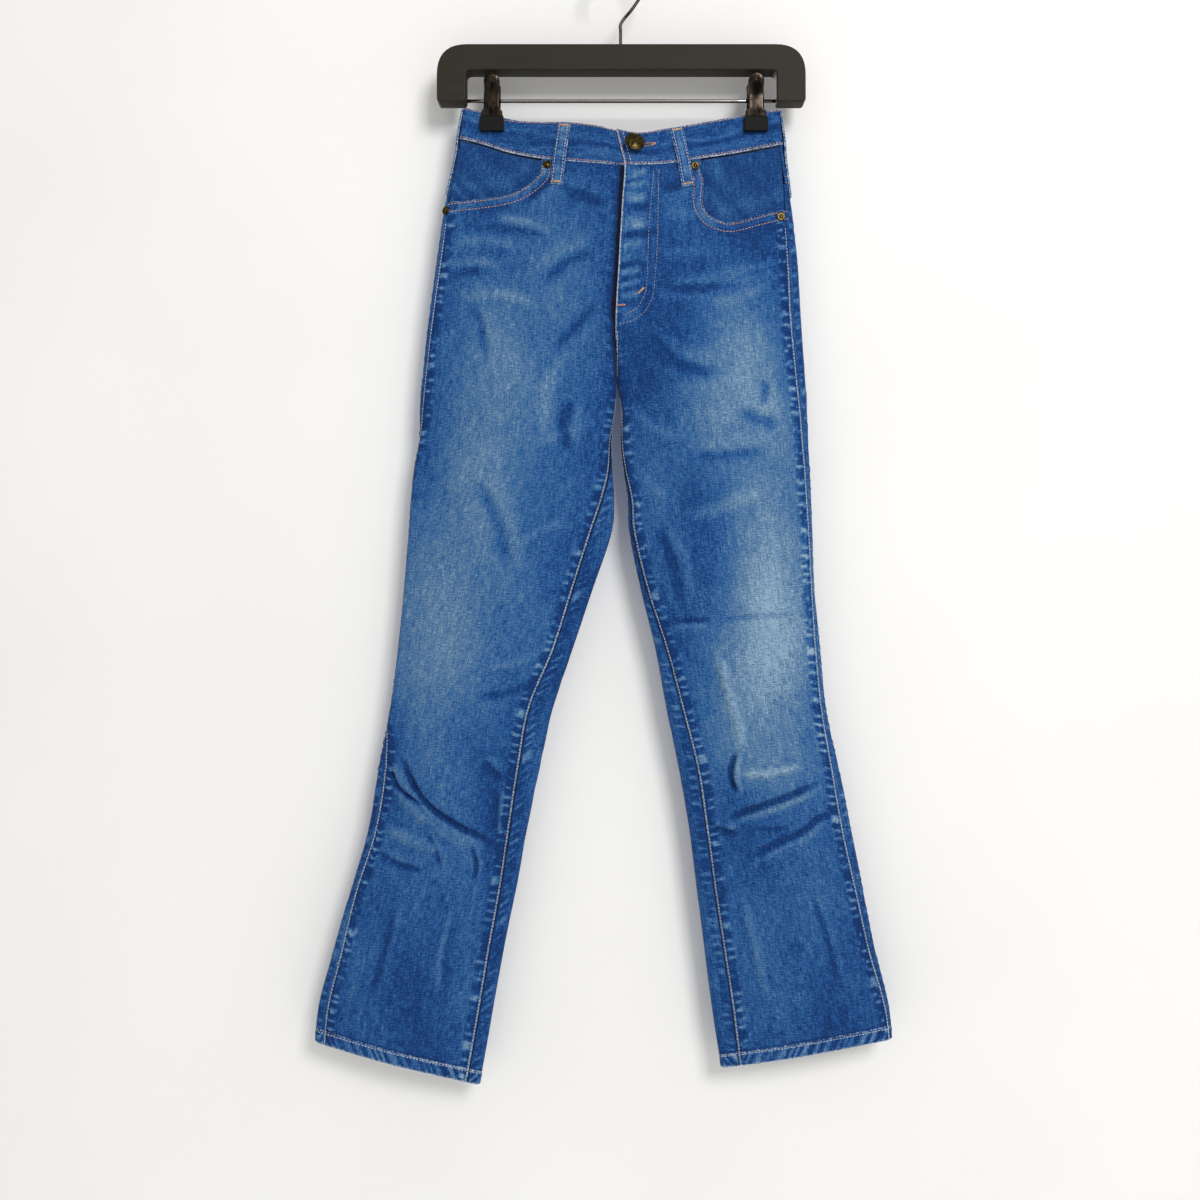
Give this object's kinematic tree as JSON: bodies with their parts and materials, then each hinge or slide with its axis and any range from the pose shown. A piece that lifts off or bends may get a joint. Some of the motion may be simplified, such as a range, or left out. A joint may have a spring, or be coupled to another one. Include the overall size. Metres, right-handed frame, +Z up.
{
  "type": "flared jeans on a clip hanger",
  "caption": "Faded mid-blue flared jeans with scoop front pockets and turned hems, hanging by the waistband from a flat clip hanger with a wire hook.",
  "frame": {"origin": "inner top of the hanger's hook, where a rail or wall hook carries it", "axes": "+Z up, the front faces -Y, the wearer's right leg is on the -X side"},
  "size_m": [0.5733, 0.0583, 1.1233],
  "materials": {
    "denim": "washed stretch denim, matt",
    "denim_inner": "less faded denim, matt",
    "zip_tape": "woven tape, matt",
    "antique_brass": "antiqued, satin",
    "hanger_board": "dark grey lacquer, satin",
    "steel_wire": "plated steel wire",
    "black_nickel": "black nickel plating, bright",
    "rubber": "black, matt"
  },
  "bodies": {
    "root": {"front_right": "denim", "front_left": "denim", "back_right": "denim", "back_left": "denim", "yoke_right": "denim", "yoke_left": "denim", "waistband": "denim", "back_pocket_right": "denim", "back_pocket_left": "denim", "belt_loop_front_right": "denim", "belt_loop_front_left": "denim", "belt_loop_side_right": "denim", "belt_loop_side_left": "denim", "belt_loop_back": "denim", "pocket_facing_right": "denim_inner", "pocket_facing_left": "denim_inner", "fly_shield": "denim_inner", "zip_tape": "zip_tape", "button": "antique_brass", "rivet_right_top": "antique_brass", "rivet_right_side": "antique_brass", "rivet_left_top": "antique_brass", "rivet_left_side": "antique_brass", "hanger_bar": "hanger_board", "hanger_hook": "steel_wire", "hanger_rod": "steel_wire", "clip_right": "black_nickel", "clip_left": "black_nickel", "clip_right_pad_front": "rubber", "clip_right_pad_back": "rubber", "clip_left_pad_front": "rubber", "clip_left_pad_back": "rubber"}
  },
  "joints": []
}
